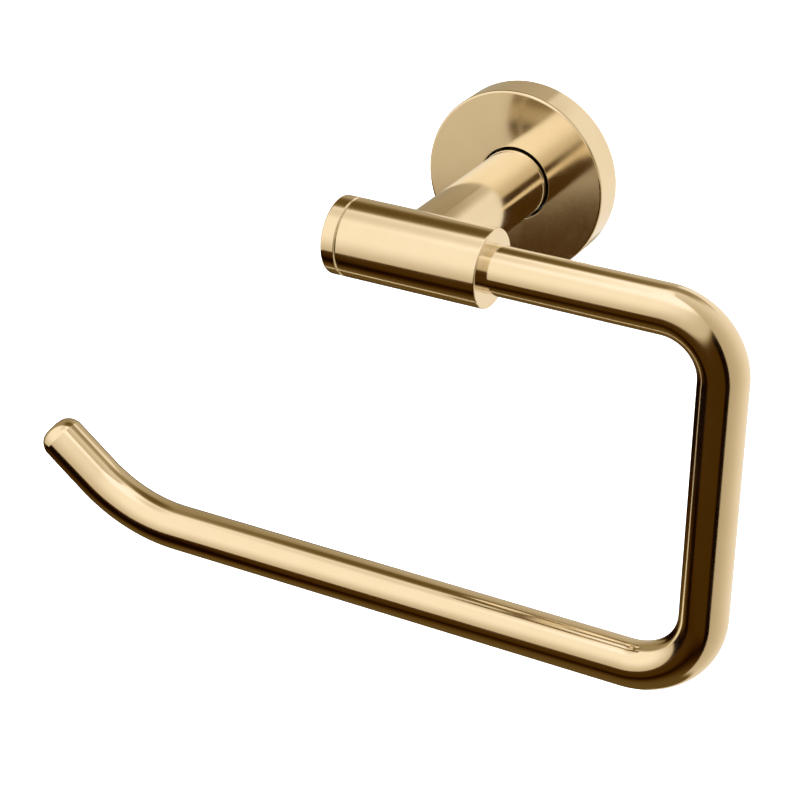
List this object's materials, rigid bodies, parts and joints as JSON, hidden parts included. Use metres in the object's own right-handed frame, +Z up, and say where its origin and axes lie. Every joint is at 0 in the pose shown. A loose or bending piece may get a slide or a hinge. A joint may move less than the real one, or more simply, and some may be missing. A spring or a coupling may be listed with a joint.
{
  "type": "toilet paper holder",
  "caption": "Wall-mounted toilet paper holder: round rosette, short post and barrel, and an open arm that hangs from the barrel, swings out and ends in an upturned tip.",
  "frame": {"origin": "centre of the rosette's back face, on the wall", "axes": "+X to the right for someone facing the wall, along the barrel; +Y into the wall; +Z up"},
  "size_m": [0.1629, 0.057, 0.1045],
  "materials": {
    "gold": "warm gold, polished with a fine satin haze",
    "plated_steel": "zinc plated",
    "steel": "stainless, turned",
    "rubber": "black, moulded",
    "bush_plastic": "natural white, moulded"
  },
  "bodies": {
    "holder": {"wall_plate": "plated_steel", "plate_spigot": "plated_steel", "rosette_cover": "gold", "rosette_grip_ring": "rubber", "post": "gold", "post_grub_screw": "steel", "post_screw": "steel", "barrel": "gold", "end_cap": "gold", "cap_o_ring": "rubber", "bush_left": "bush_plastic", "bush_right": "bush_plastic"},
    "arm": {"arm": "gold", "arm_washer": "steel", "arm_lock_washer": "steel", "arm_screw": "steel"}
  },
  "joints": [
    {"name": "arm_swing", "type": "hinge", "parent": "holder", "child": "arm", "pos_m": [0, -0.049, 0], "axis": [-1, 0, 0], "range_deg": [-33, 213]}
  ]
}
